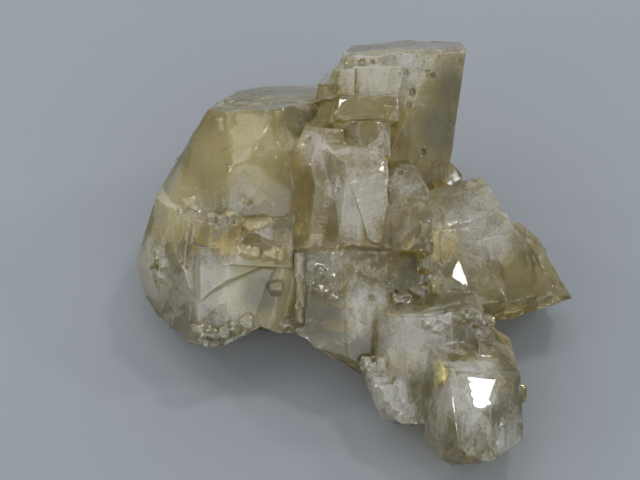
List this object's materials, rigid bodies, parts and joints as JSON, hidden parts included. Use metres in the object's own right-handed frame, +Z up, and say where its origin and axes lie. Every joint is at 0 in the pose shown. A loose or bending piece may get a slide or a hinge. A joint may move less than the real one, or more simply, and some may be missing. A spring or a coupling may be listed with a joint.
{
  "type": "barite crystal cluster",
  "caption": "Hand-sized cluster of blocky, honey-coloured, see-through barite crystals grown through each other, broken flat underneath so that it rests leaning back.",
  "frame": {"origin": "bottom centre of the bounding box, on the broken underside", "axes": "+Z up from the resting face, which is also the shortest extent; -Y towards the viewer, where the front knob lies; +X to the viewer's right"},
  "size_m": [0.058, 0.0638, 0.0306],
  "materials": {
    "barite": "translucent honey-coloured crystal, vitreous faces with growth steps and pits"
  },
  "bodies": {
    "root": {"barite_crystals": "barite"}
  },
  "joints": []
}
